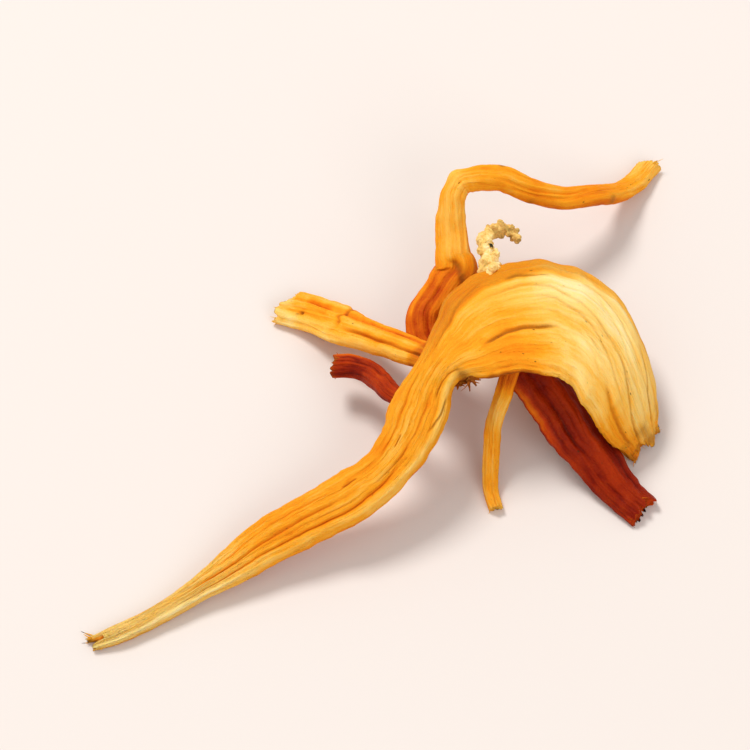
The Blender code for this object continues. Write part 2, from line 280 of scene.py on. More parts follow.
def fibres(along, angle, per_mm, wrap, seed, drift=0.0):
    """Noise drawn out along a strand: per_mm cells a millimetre along it, wrap cells round it."""
    return lattice_noise(along * per_mm, (angle / TURN) * wrap + drift, wrap, seed)


def ridged(value):
    """Folds noise into sharp creases (-1) between rounded ridges (+1)."""
    return 1 - 2 * (1 - np.abs(value)) ** 3


# ---------- sweeping a section along a route

def unit(vectors):
    return vectors / np.linalg.norm(vectors, axis=-1, keepdims=True)


def smooth_table(stations, count):
    """Rows of numbers read from a smooth curve through the stations, evenly spaced along it."""
    rows = np.array(stations, float)
    steps = np.linalg.norm(np.diff(rows[:, :3], axis=0), axis=1)
    along = np.concatenate([[0.0], np.cumsum(steps)])
    slopes = np.gradient(rows, along, axis=0)
    wanted = np.linspace(0.0, along[-1], count)
    i = np.clip(np.searchsorted(along, wanted) - 1, 0, len(along) - 2)
    span = (along[i + 1] - along[i])[:, None]
    t = (wanted - along[i])[:, None] / span
    table = (1 + 2 * t) * (1 - t) ** 2 * rows[i] + t * t * (3 - 2 * t) * rows[i + 1]
    table += t * (1 - t) ** 2 * span * slopes[i] + t * t * (t - 1) * span * slopes[i + 1]
    return table, wanted


def route_length(stations):
    rows = np.array([s[:3] for s in stations], float)
    return np.linalg.norm(np.diff(rows, axis=0), axis=1).sum()


def ribbon_route(stations):
    """Middle line, half width as a vector, and thickness, from stations given by their edges."""
    rows = []
    for left, right, thickness in stations:
        middle = (np.array(left) + np.array(right)) / 2
        half = (np.array(right) - np.array(left)) / 2
        rows.append([*middle, *half, thickness])
    table, along = smooth_table(rows, int(route_length(rows) / ALONG_STEP))
    way = unit(np.gradient(table[:, :3], axis=0))
    half = table[:, 3:6]
    up = unit(np.cross(half, way))
    return {"centre": table[:, :3], "half": half, "up": up, "way": way,
            "thick": table[:, 6] / 2, "along": along}


def strand_route(stations):
    """The same from stations given by a middle line, a width, a thickness and a roll."""
    table, along = smooth_table(stations, int(route_length(stations) / ALONG_STEP))
    way = unit(np.gradient(table[:, :3], axis=0))
    flat = unit(np.cross(way, (0.0, 0.0, 1.0)))
    upright = np.cross(flat, way)
    roll = np.radians(table[:, 5])[:, None]
    across = flat * np.cos(roll) + upright * np.sin(roll)
    up = np.cross(across, way)
    return {"centre": table[:, :3], "half": across * table[:, 3:4] / 2, "up": up, "way": way,
            "thick": table[:, 4] / 2, "along": along}


def hood_start():
    """How far along the long ribbon the main fork lies, from 0 to 1."""
    middles = [(np.array(left) + np.array(right)) / 2
               for left, right, _ in [*TAIL_STATIONS, *HOOD_STATIONS]]
    steps = np.linalg.norm(np.diff(np.array(middles), axis=0), axis=1)
    return steps[:len(TAIL_STATIONS) - 1].sum() / steps.sum()


HOOD_START = hood_start()


def natural(route, seed, share):
    """Let each edge wander by about share of the half width, so that no outline runs smooth."""
    along = route["along"]

    def wander(first):
        slow = lattice_noise(along * 0.45, along * 0, 2, first)
        medium = lattice_noise(along * 1.3, along * 0, 2, first + 1)
        quick = lattice_noise(along * 3.1, along * 0, 2, first + 2)
        return share * (slow + 0.5 * medium + 0.25 * quick)

    left = wander(seed)
    right = wander(seed + 50)
    route["centre"] = route["centre"] + route["half"] * ((right - left) / 2)[:, None]
    route["half"] = route["half"] * (1 + (right + left) / 2)[:, None]
    return route


def grid_of(route, sides, dome=None, squareness=1.0):
    """The bare skin: for each section, points round it. Also the coordinates that patterns use.

    A squareness below 1 makes a section fuller at its corners.
    """
    angle = np.arange(sides) * TURN / sides
    evened = angle + EVENING * np.sin(2 * angle)
    cos, sin = np.cos(evened), np.sin(evened)
    side = np.sign(cos) * np.abs(cos) ** squareness
    lift = np.sign(sin) * np.abs(sin) ** squareness
    along = route["along"][:, None] * np.ones(sides)
    part = along / along[-1, 0]
    side = side[None, :] * np.ones_like(along)
    lift = lift[None, :] * np.ones_like(along)
    height = lift * route["thick"][:, None]
    if dome is not None:
        height += dome(part, side)
    points = route["centre"][:, None, :] + route["half"][:, None, :] * side[..., None]
    points += route["up"][:, None, :] * height[..., None]
    return {"points": points, "along": along, "part": part, "side": side, "lift": lift,
            "angle": angle[None, :] * np.ones_like(along),
            "top": smoothstep(-0.15, 0.3, lift)}


def spot(position, side, centre, size):
    """A soft round mark on a face: 1 at its centre (position, side), size given the same way."""
    return bump_at(position, centre[0], size[0]) * bump_at(side, centre[1], size[1])


def spots(position, side, rows):
    """The sum of several spots, each given as (weight, centre, size)."""
    return sum(weight * spot(position, side, centre, size) for weight, centre, size in rows)


def stroke(position, side, stations, width):
    """A line along a face: 1 on it and 0 away from it, tapering at both ends."""
    at, across = np.array(stations, float).T
    reach = 0.22 * (at[-1] - at[0])
    taper = smoothstep(at[0], at[0] + reach, position)
    taper = taper * (1 - smoothstep(at[-1] - reach, at[-1], position))
    return bump_at(side, np.interp(position, at, across), width) * taper


def strokes(position, side, rows):
    """The sum of several strokes, each given as (weight, stations, width)."""
    return sum(weight * stroke(position, side, stations, width) for weight, stations, width in rows)


def normals_of(points):
    along = np.gradient(points, axis=0)
    around = np.roll(points, -1, axis=1) - np.roll(points, 1, axis=1)
    return unit(np.cross(around, along) + 1e-12)


def outward(points, centre):
    normal = normals_of(points)
    facing = np.sum(normal * (points - centre[:, None, :]), axis=-1).mean()
    return normal if facing > 0 else -normal


def carve(route, grid, relief, tear_start=None, tear_end=None):
    """Push the skin in and out by relief, in millimetres, then tear its ends along the strand."""
    points = grid["points"]
    points = points + outward(points, route["centre"]) * relief[..., None]
    for tear, row, sign, weight in (
        (tear_start, 0, -1, 1 - smoothstep(0.0, TEAR_REACH, grid["along"])),
        (tear_end, -1, 1, smoothstep(-TEAR_REACH, 0.0, grid["along"] - grid["along"][-1:])),
    ):
        if tear is not None:
            shift = tear(grid["side"][row], grid["angle"][row])[None, :] * weight
            points = points + sign * route["way"][:, None, :] * shift[..., None]
    return points


def cap_rows(ring, way, hollow, rough, seed):
    """Rows that close an end. hollow is how deep its middle lies, rough how fibrous it is."""
    middle = ring.mean(axis=0)
    angle = np.arange(len(ring)) * TURN / len(ring)
    rows = []
    for share in CAP_SHARES:
        depth = -hollow * (1 - share) ** 0.6
        grain = fibres(np.full_like(angle, 9 * share), angle, 1.0, 26, seed)
        depth += rough * grain * math.sqrt(share)
        rows.append(middle + (ring - middle) * share + way * np.array(depth)[..., None])
    return rows


# ---------- meshes

def new_object(name, data):
    item = bpy.data.objects.new(name, data)
    bpy.context.scene.collection.objects.link(item)
    return item


def place(points):
    """Millimetres of the drawing to metres of the frame, never below the surface."""
    points = np.array(points, float)
    points[..., 0] -= MIDDLE[0]
    points[..., 1] -= MIDDLE[1]
    points[..., 2] = np.maximum(points[..., 2], 0.0)
    return points * MM


def loose_threads(points, centre, rows, count, lean, length, tone, seed, columns=None,
                  radii=(0.025, 0.045), brown=0.0):
    """Fine threads that stand off the skin between two of its rows and, if given, columns.

    They lean towards the vector lean. length and radii are in millimetres.
    """
    rng = np.random.default_rng(seed)
    threads = []
    turn = np.arange(THREAD_CORNERS) * TURN / THREAD_CORNERS
    for _ in range(count):
        row = int(rng.integers(*rows))
        column = int(rng.integers(*(columns or (0, points.shape[1])))) % points.shape[1]
        start = points[row, column]
        out = unit(start - centre[row])
        way = unit(lean + 0.55 * out + rng.normal(0, 0.35, 3))
        bend = rng.normal(0, 0.45, 3)
        reach = length * rng.uniform(0.4, 1.0)
        radius = rng.uniform(*radii)
        flat = unit(np.cross(way, rng.normal(0, 1, 3)))
        upright = np.cross(way, flat)
        rings = []
        for k in range(THREAD_STEPS):
            t = k / (THREAD_STEPS - 1)
            middle = start + way * reach * (t - 0.08) + bend * reach * t * t
            round_it = np.cos(turn)[:, None] * flat + np.sin(turn)[:, None] * upright
            rings.append(middle + radius * (1 - 0.75 * t) * round_it)
        own_tone = tone + rng.uniform(-0.08, 0.08)
        threads.append({"rings": np.array(rings), "tone": own_tone, "brown": brown})
    return threads


def tube_faces(rows, sides, first=0):
    """The faces of a tube of rows by sides points, with a fan over each end."""
    row = np.arange(rows - 1)[:, None] * sides
    column = np.arange(sides)[None, :]
    low = (row + column).ravel()
    low_next = (row + (column + 1) % sides).ravel()
    faces = (np.stack([low, low_next, low_next + sides, low + sides], axis=1) + first).tolist()
    top = first + (rows - 1) * sides
    for k in range(sides):
        after = (k + 1) % sides
        faces.append((first + after, first + k, first + rows * sides))
        faces.append((top + k, top + after, first + rows * sides + 1))
    return faces


def with_tips(rows):
    """A tube's points in one list, followed by the middle of each of its ends."""
    flat = rows.reshape(-1, 3)
    return np.concatenate([flat, [rows[0].mean(axis=0)], [rows[-1].mean(axis=0)]])


def spread(values):
    """A tube's values in one list, followed by one for the middle of each end."""
    flat = values.reshape(-1, *values.shape[2:])
    return np.concatenate([flat, flat[:1], flat[-1:]])


def closed_mesh(name, verts, faces):
    """A smoothly shaded mesh with its faces turned outward."""
    mesh = bpy.data.meshes.new(name)
    mesh.from_pydata(verts.tolist(), [], faces)
    shape = bmesh.new()
    shape.from_mesh(mesh)
    bmesh.ops.recalc_face_normals(shape, faces=shape.faces)
    shape.to_mesh(mesh)
    shape.free()
    mesh.shade_smooth()
    return mesh


def skin_mesh(name, route, points, paint, material, ends, threads, seed, rows=None):
    """A closed mesh over the carved skin. Each end is (hollow, roughness, tone), or None at a cut."""
    first, last = rows or (0, len(points))
    body = points[first:last]
    ways = (-route["way"][first], route["way"][last - 1])
    shapes = [(0.0, 0.0, None) if end is None else end for end in ends]
    start = cap_rows(body[0], ways[0], shapes[0][0], shapes[0][1], seed + 71)
    finish = cap_rows(body[-1], ways[1], shapes[1][0], shapes[1][1], seed + 72)
    tube = np.concatenate([np.array(start[::-1]), body, np.array(finish)])
    pad = len(CAP_SHARES)
    sides = tube.shape[1]

    marks = {}
    for key, value in paint.items():
        value = value[first:last]
        full = np.concatenate([np.repeat(value[:1], pad, axis=0), value,
                               np.repeat(value[-1:], pad, axis=0)])
        if key == "tone":
            for shape, part in ((shapes[0], slice(0, pad)), (shapes[1], slice(-pad, None))):
                if shape[2] is not None:
                    full[part] = shape[2]
        marks[key] = [spread(full)]

    verts = [with_tips(tube)]
    faces = tube_faces(len(tube), sides)
    for thread in threads:
        rings = thread["rings"]
        faces += tube_faces(rings.shape[0], rings.shape[1], sum(len(v) for v in verts))
        verts.append(with_tips(rings))
        for key in marks:
            value = rings * 2.0 if key == "grain" else np.full(rings.shape[:2], thread[key])
            marks[key].append(spread(value))

    mesh = closed_mesh(name, place(np.concatenate(verts)), faces)
    cut_rows = [row for end, row in zip(ends, (pad, len(tube) - 1 - pad)) if end is None]
    sharpen(mesh, [range(row * sides, (row + 1) * sides) for row in cut_rows])
    for key, value in marks.items():
        paint_mesh(mesh, key, np.concatenate(value))
    mesh.materials.append(material)
    return new_object(name, mesh)


def paint_mesh(mesh, name, values):
    """Give each point of the mesh a number or three."""
    kind, field = ("FLOAT_VECTOR", "vector") if values.ndim == 2 else ("FLOAT", "value")
    mesh.attributes.new(name, kind, "POINT").data.foreach_set(field, values.ravel())


def sharpen(mesh, rings):
    """Shade these rings of vertices as edges, so that a cut does not show in the skin beside it."""
    ends = np.empty(len(mesh.edges) * 2, int)
    mesh.edges.foreach_get("vertices", ends)
    low, high = ends.reshape(-1, 2).min(axis=1), ends.reshape(-1, 2).max(axis=1)
    sharp = np.zeros(len(mesh.edges), bool)
    for ring in rings:
        sharp |= (low >= ring[0]) & (high <= ring[-1])
    mesh.attributes.new("sharp_edge", "BOOLEAN", "EDGE").data.foreach_set("value", sharp)


def paint_of(grid, relief, tone, brown, width, seed):
    """The attributes that the skin material reads, with painted shade in the hollows and a painted
    highlight on the ridges.

    width is half the width of a face in millimetres, as the grain of the material is to see it.
    """
    grain = np.stack([grid["along"] + 40.0 * seed, grid["side"] * width, grid["lift"] * width * 0.5],
                     axis=-1)
    ones = np.ones_like(relief)
    # Painted shade in the hollows of the relief and a painted highlight on its ridges.
    tone = tone - 0.9 * np.clip(-relief, 0.0, 0.22) + 0.5 * np.clip(relief, 0.0, 0.15)
    return {"grain": grain, "tone": tone * ones, "brown": np.clip(brown, 0.0, 1.0) * ones}


def dress(piece, node):
    """Stand the piece in for its CAD node."""
    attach(piece, "root")
    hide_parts(node)


# ---------- materials

def socket_colour(colour):
    return (*colour, 1.0)


def set_inputs(node, **values):
    """Set a node's inputs by their names, with _ for a space."""
    for name, value in values.items():
        node.inputs[name.replace("_", " ")].default_value = value


class Nodes:
    """Short calls for building one material's nodes."""

    def __init__(self, name):
        self.material = bpy.data.materials.new(name)
        self.material.use_nodes = True
        self.tree = self.material.node_tree
        self.shader = self.tree.nodes["Principled BSDF"]

    def link(self, source, target):
        self.tree.links.new(source, target)

    def add(self, kind, **values):
        node = self.tree.nodes.new("ShaderNode" + kind)
        set_inputs(node, **values)
        return node

    def attribute(self, name, output="Fac"):
        node = self.add("Attribute")
        node.attribute_name = name
        return node.outputs[output]

    def stretched(self, scale):
        node = self.add("Mapping", Scale=scale)
        self.link(self.attribute("grain", "Vector"), node.inputs["Vector"])
        return node.outputs["Vector"]

    def noise(self, scale, detail, distortion=0.0):
        """Noise in the grain, with scale its cells a millimetre along, across and through."""
        node = self.add("TexNoise", Scale=1.0, Detail=detail, Distortion=distortion)
        self.link(self.stretched(scale), node.inputs["Vector"])
        return node.outputs["Fac"]

    def spots(self, scale):
        node = self.add("TexVoronoi", Scale=1.0)
        self.link(self.stretched(scale), node.inputs["Vector"])
        return node.outputs["Distance"]

    def span(self, value, low, high, to_low=0.0, to_high=1.0):
        node = self.add("MapRange", From_Min=low, From_Max=high, To_Min=to_low, To_Max=to_high)
        self.link(value, node.inputs["Value"])
        return node.outputs["Result"]

    def math(self, kind, *values):
        node = self.add("Math")
        node.operation = kind
        for socket, value in zip(node.inputs, values):
            if isinstance(value, (int, float)):
                socket.default_value = value
            else:
                self.link(value, socket)
        return node.outputs["Value"]

    def sway(self, base, parts):
        """base moved up and down by noises that each lie about 0.5, times their weights."""
        total = self.math("ADD", base, -0.5 * sum(weight for _, weight in parts))
        for value, weight in parts:
            total = self.math("MULTIPLY_ADD", value, weight, total)
        return total

    def mix(self, share, first, second):
        node = self.add("Mix")
        node.data_type = "RGBA"
        self.link(share, node.inputs["Factor"])
        # This node has a set of sockets for each type of data: these are the ones for colours.
        for socket, value in ((node.inputs[6], first), (node.inputs[7], second)):
            if isinstance(value, tuple):
                socket.default_value = socket_colour(value)
            else:
                self.link(value, socket)
        return node.outputs[2]

    def ramp(self, value, stops):
        node = self.add("ValToRGB")
        elements = node.color_ramp.elements
        while len(elements) < len(stops):
            elements.new(0.5)
        for element, (position, colour) in zip(elements, stops):
            element.position = position
            element.color = socket_colour(colour)
        self.link(value, node.inputs["Fac"])
        return node.outputs["Color"]

    def bump(self, height, distance, before=None):
        node = self.add("Bump", Strength=1.0, Distance=distance)
        self.link(height, node.inputs["Height"])
        if before is not None:
            self.link(before, node.inputs["Normal"])
        return node.outputs["Normal"]


# The skin's colours by tone, from the darkest red strands to the palest flesh.
TONES = [
    (0.00, (0.030, 0.002, 0.001)),
    (0.12, (0.200, 0.008, 0.001)),
    (0.25, (0.440, 0.036, 0.002)),
    (0.38, (0.690, 0.140, 0.004)),
    (0.50, (0.880, 0.260, 0.006)),
    (0.62, (0.950, 0.370, 0.016)),
    (0.75, (0.970, 0.520, 0.085)),
    (0.88, (0.980, 0.690, 0.230)),
    (1.00, (0.990, 0.800, 0.420)),
]
BROWN = (0.31, 0.105, 0.009)
SOOT = (0.06, 0.022, 0.006)


def skin_material(name, rough=(0.5, 0.75), gloss=0.06, contrast=1.0):
    """Dry, finely fibrous skin. The mesh's paint gives its tone and where it is brown, and both hold
    painted shade.

    contrast scales how strongly the noises change the tone.
    """
    n = Nodes(name)
    streak = n.noise((0.14, 2.6, 2.6), detail=6.0, distortion=0.25)
    thread = n.noise((0.7, 8.0, 8.0), detail=3.0, distortion=0.2)
    mottle = n.noise((0.8, 1.0, 1.0), detail=4.0, distortion=0.4)
    grit = n.noise((9.0, 11.0, 11.0), detail=2.0)
    weights = [(streak, 0.38), (thread, 0.18), (mottle, 0.26), (grit, 0.12)]
    tone = n.sway(n.attribute("tone"), [(value, weight * contrast) for value, weight in weights])
    colour = n.ramp(tone, TONES)
    # The brown paint holds the skin's brown marks and also painted shade on undersides and in the
    # crease.
    brown_and_painted_shade = n.sway(n.attribute("brown"), [(grit, 0.5), (mottle, 0.3)])
    colour = n.mix(n.math("MULTIPLY", n.span(brown_and_painted_shade, 0.05, 0.9), 0.85), colour, BROWN)
    speck = n.span(n.spots((1.6, 3.0, 3.0)), 0.17, 0.06)
    rare = n.span(n.noise((0.7, 1.3, 1.3), detail=2.0), 0.57, 0.63)
    colour = n.mix(n.math("MULTIPLY", n.math("MULTIPLY", speck, rare), 0.8), colour, SOOT)
    n.link(colour, n.shader.inputs["Base Color"])

    n.link(n.span(thread, 0.3, 0.7, *rough), n.shader.inputs["Roughness"])
    normal = n.bump(streak, distance=0.00022)
    normal = n.bump(thread, distance=0.00005, before=normal)
    n.link(n.bump(grit, distance=0.000035, before=normal), n.shader.inputs["Normal"])
    set_inputs(n.shader, Subsurface_Weight=0.18, Subsurface_Radius=(1.0, 0.35, 0.08),
               Subsurface_Scale=0.0005, Specular_IOR_Level=gloss)
    return n.material


def tuft_material():
    """Matt, crumbly cream mycelium, greenish brown where it curls over."""
    n = Nodes("tuft_crumbs")
    lumps = n.noise((1.6, 1.6, 1.6), detail=4.0)
    dust = n.noise((7.0, 7.0, 7.0), detail=2.0)
    tone = n.sway(n.attribute("tone"), [(lumps, 0.9), (dust, 0.5)])
    colour = n.ramp(tone, [(0.0, (0.03, 0.028, 0.012)), (0.25, (0.20, 0.13, 0.035)),
                           (0.45, (0.52, 0.33, 0.09)), (0.65, (0.86, 0.54, 0.15)),
                           (0.85, (0.95, 0.70, 0.28)), (1.0, (0.97, 0.84, 0.50))])
    n.link(colour, n.shader.inputs["Base Color"])
    n.link(n.span(dust, 0.3, 0.7, 0.75, 0.95), n.shader.inputs["Roughness"])
    n.link(n.bump(dust, distance=0.00005), n.shader.inputs["Normal"])
    set_inputs(n.shader, Subsurface_Weight=0.15, Subsurface_Radius=(1.0, 0.6, 0.3),
               Subsurface_Scale=0.0003, Specular_IOR_Level=0.15)
    return n.material


# ---------- the pieces

def wrinkles(grid, seed, folds, depth):
    """Folds, ridges and fine wrinkles that every dried strand has, in millimetres."""
    s, angle = grid["along"], grid["angle"]
    drift = 0.7 * fibres(s, angle * 0, 0.16, 3, seed + 1)
    long_folds = ridged(fibres(s, angle, 0.10, folds, seed + 2, drift)) * depth * 0.6
    short_folds = ridged(fibres(s, angle, 0.26, folds * 2 + 1, seed + 3, drift)) * depth * 0.45
    fine_folds = ridged(fibres(s, angle, 0.5, folds * 5, seed + 4, drift)) * depth * 0.14
    pores = fibres(s, angle, 3.0, folds * 6, seed + 5) * 0.012
    creases = fibres(s, angle, 2.2, folds, seed + 6) * 0.018
    swell = fibres(s, angle, 0.4, 3, seed + 7) * depth * 0.5
    return long_folds + short_folds + fine_folds + pores + creases + swell


def split_edge(angle, teeth, depth, seed):
    """How far a torn edge stands out round a section: blunt points and narrow splits between them."""
    near = fibres(angle * 0 + 2.0, angle, 1.0, teeth, seed)
    far = fibres(angle * 0 + 4.0, angle, 1.0, teeth // 3, seed + 1)
    return depth * (0.6 * far - 1.1 * (1 - np.abs(near)) ** 3)


def hood_dome(part, side):
    """The doming of the long ribbon: slight along the strand, full at the hood's crown."""
    t = np.clip((part - HOOD_START) / (1 - HOOD_START), 0.0, 1.0)
    rise = np.sin(math.pi / 2 * np.minimum(1.0, DOME_START + t))
    rise = np.maximum(DOME_LEAST, rise * smoothstep(-0.02, 0.05, part - HOOD_START))
    fade = 1 - DOME_LOSS * np.maximum(0.0, t - DOME_FADE) / (1 - DOME_FADE)
    return DOME_HEIGHT * rise * fade * (1 - side * side)


def ribbon_relief(grid, t, hood, lines):
    """The long ribbon's folds: rounded ridges on the stem, fine curved streaks on the hood."""
    s, angle, side, top = grid["along"], grid["angle"], grid["side"], grid["top"]
    stem = wrinkles(grid, seed=11, folds=8, depth=0.072) * (1 - 0.5 * smoothstep(-0.7, -1.2, t))
    stem += 0.10 * bump_at(side, 0.80, 0.12) * top
    curve = 0.62 * smoothstep(0.35, 0.9, t) * top
    bent = angle + curve * 2.0
    streaks = ridged(fibres(s, bent, 0.07, 26, 31)) * 0.026
    streaks += ridged(fibres(s, bent, 0.18, 61, 32)) * 0.015
    streaks += fibres(s, bent, 0.35, 9, 33) * 0.06
    streaks += fibres(s, angle, 2.6, 40, 34) * 0.012
    rim_side = np.interp(t, RIM_AT, RIM_SIDE)
    rim = bump_at(side, rim_side - 0.10, 0.08) - bump_at(side, rim_side + 0.03, 0.04)
    streaks += 0.07 * rim * top * (1 - smoothstep(0.75, 0.95, t))
    lobe = smoothstep(0.30, 0.42, side) * smoothstep(0.16, 0.26, t) * (1 - smoothstep(0.45, 0.62, t))
    streaks -= 0.06 * lobe * top
    crumbs = smoothstep(0.86, 0.97, t) * (fibres(s, angle, 4.0, 60, 35) * 0.06
                                          + fibres(s, angle, 2.0, 24, 36) * 0.08)
    relief = stem * (1 - hood) + (streaks + 0.2 * stem + crumbs) * hood
    for (_, _, depth, _), mark in zip(RIBBON_LINES, lines):
        relief -= depth * mark
    return relief


def stem_paint(grid, t):
    """Orange down the stem, with a yellower ridge along its inner edge, a paler tail and painted shade
    on its underside.
    """
    side, top = grid["side"], grid["top"]
    tone = 0.61 - 0.03 * bump_at(t, -0.65, 0.35) + 0.07 * bump_at(side, 0.78, 0.14) * top
    tone += 0.18 * smoothstep(-0.70, -1.10, t)
    # Painted shade: the underside darker.
    return tone - 0.13 * smoothstep(0.10, -0.25, grid["lift"])


def hood_paint(grid, t):
    """Amber at the shoulder, yellow over the blade with a pale arc, orange-brown at the torn end;
    painted shade on the underside and along the rolled-down outer rim.
    """
    side, top = grid["side"], grid["top"]
    tone = np.interp(t, HOOD_TONE_AT, HOOD_TONE)
    arc = bump_at(side, -0.42 + 0.34 * smoothstep(0.62, 0.84, t), 0.24) * smoothstep(0.34, 0.56, t)
    arc = arc * (1 - 0.4 * smoothstep(0.70, 0.80, t)) * (1 - smoothstep(0.82, 0.94, t))
    inner = 0.05 * smoothstep(0.35, 0.8, side) + 0.05 * spot(t, side, (0.26, 0.75), (0.10, 0.30))
    inner -= 0.07 * bump_at(t, 0.52, 0.10) * smoothstep(0.1, 0.6, side)
    inner += 0.13 * smoothstep(0.70, 0.84, t) * smoothstep(0.2, 0.9, side)
    rim_side = np.interp(t, RIM_AT, RIM_SIDE)
    rim = smoothstep(rim_side + 0.05, rim_side - 0.05, side) * top
    shoulder = spot(t, side, (0.30, -0.42), (0.13, 0.34))
    # The underside gets painted shade.
    tone = tone + (0.15 * arc - 0.09 * shoulder) * top - inner - 0.13 * (1 - top)
    # Painted shade along the outer rim, where it rolls down.
    tone -= 0.15 * rim * (1 - 0.2 * smoothstep(0.50, 0.65, t))
    return tone, rim


def ribbon_paint(grid, t, hood, lines):
    """The long ribbon's tone and brownness, painted shade included; the painted shade in its folds is
    added later.
    """
    s, angle, side, top = grid["along"], grid["angle"], grid["side"], grid["top"]
    hood_tone, rim = hood_paint(grid, t)
    tone = hood_tone * hood + stem_paint(grid, t) * (1 - hood)
    # Painted shade as brown along the rolled-down outer rim and on the underside of the hood.
    brown = (0.38 - 0.08 * smoothstep(0.42, 0.60, t)) * rim * hood + 0.10 * (1 - top) * hood
    brown += 0.20 * smoothstep(0.88, 0.99, t)
    crumbs = smoothstep(-0.3, 0.8, fibres(s, angle, 2.0, 24, 36))
    brown += 0.5 * crumbs * smoothstep(0.84, 0.97, t)
    ragged = 0.22 * fibres(s, angle * 0, 1.6, 2, 37) + 0.06 * fibres(s, angle, 4.0, 64, 38)
    # Painted shade, darker and browner, on the underside of the hood's inner edge, where its torn skin
    # is brown as well.
    torn = smoothstep(0.30, -0.25, grid["lift"] - 0.12 + ragged) * smoothstep(0.70, 0.9, side)
    torn = torn * smoothstep(0.02, 0.06, t) * (1 - smoothstep(0.34, 0.46, t))
    tone -= 0.24 * torn
    brown = brown + 0.7 * torn + 0.8 * spot(t, side + ragged, (0.07, 1.0), (0.03, 0.25)) * top
    brown += 0.35 * spot(t, side, (0.91, 0.32), (0.022, 0.28)) * top
    # The lines' brown; in the crease under the hood's fold it is painted shadow.
    for (_, _, _, line_brown), mark in zip(RIBBON_LINES, lines):
        brown += line_brown * mark
    return tone, brown


def long_ribbon():
    """Tail and hood as one carved skin, cut at the main fork into their two pieces."""
    route = natural(ribbon_route([*TAIL_STATIONS, *HOOD_STATIONS]), seed=300, share=0.05)
    grid = grid_of(route, RIBBON_SIDES, dome=hood_dome, squareness=0.9)
    t = (grid["part"] - HOOD_START) / (1 - HOOD_START)
    hood = smoothstep(0.0, 0.18, t)
    lines = [stroke(t, grid["side"], stations, width) * grid["top"]
             for stations, width, _, _ in RIBBON_LINES]
    relief = ribbon_relief(grid, t, hood, lines)
    tone, brown = ribbon_paint(grid, t, hood, lines)

    def torn_hood(side, angle):
        return split_edge(angle, teeth=44, depth=0.34, seed=41) + 0.25 * np.sin(7 * side + 1.5)

    def torn_tail(side, angle):
        return split_edge(angle, teeth=30, depth=0.20, seed=42) - 1.3 * bump_at(side, -0.05, 0.32)

    points = carve(route, grid, relief, torn_tail, torn_hood)
    paint = paint_of(grid, relief, tone, brown, width=3.4, seed=1)
    cut = int(np.searchsorted(grid["part"][:, 0], HOOD_START))
    last = len(points)
    centre = route["centre"]

    material = skin_material("hood_skin", contrast=0.75)
    threads = loose_threads(points, centre, rows=(last - 5, last), count=12, lean=route["way"][-1],
                            length=0.35, tone=0.6, seed=51)
    threads += loose_threads(points, centre, rows=(cut + 4, cut + 20), count=22,
                             lean=-0.3 * route["way"][cut], length=0.8, tone=0.26, seed=52,
                             columns=(-18, 8), radii=(0.09, 0.20), brown=0.8)
    hood_piece = skin_mesh("hood_blade", route, points, paint, material,
                           ends=(None, (0.22, 0.14, 0.5)), rows=(cut, last), threads=threads, seed=5)
    dress(hood_piece, "hooded_foot")

    material = skin_material("tail_skin", contrast=0.85)
    threads = loose_threads(points, centre, rows=(0, 8), count=6, lean=-route["way"][0], length=0.4,
                            tone=0.66, seed=53, radii=(0.04, 0.08))
    tail_piece = skin_mesh("tail_ribbon", route, points, paint, material,
                           ends=((0.25, 0.12, 0.66), None), rows=(0, cut + 1), threads=threads, seed=6)
    dress(tail_piece, "tail_strand")


def one_strand(name, node, stations, sides, seed, look, material, end, folds, depth=0.08,
               tear=(18, 0.2), threads=5, slant=0.0):
    """A thinner strand. look(grid) gives its extra relief, its tone and its brownness.

    end is its free end's (hollow, roughness, tone) and tear its torn edge's (teeth, depth). slant is
    how many millimetres further back the end is torn at side 1 than at side -1.
    """
    route = natural(strand_route(stations), seed * 7, share=0.07)
    grid = grid_of(route, sides)
    extra, tone, brown = look(grid)
    relief = wrinkles(grid, seed, folds, depth) + extra

    def torn(side, angle):
        return split_edge(angle, tear[0], tear[1], seed + 9) - slant * smoothstep(-0.6, 1.0, side)

    points = carve(route, grid, relief, tear_end=torn)
    paint = paint_of(grid, relief, tone, brown, width=1.0, seed=seed)
    last = len(points)
    loose = loose_threads(points, route["centre"], rows=(last - 4, last), count=threads,
                          lean=route["way"][-1], length=0.3, tone=end[2], seed=seed + 11)
    piece = skin_mesh(name, route, points, paint, material, ends=((0.0, 0.0, None), end),
                      threads=loose, seed=seed)
    dress(piece, node)


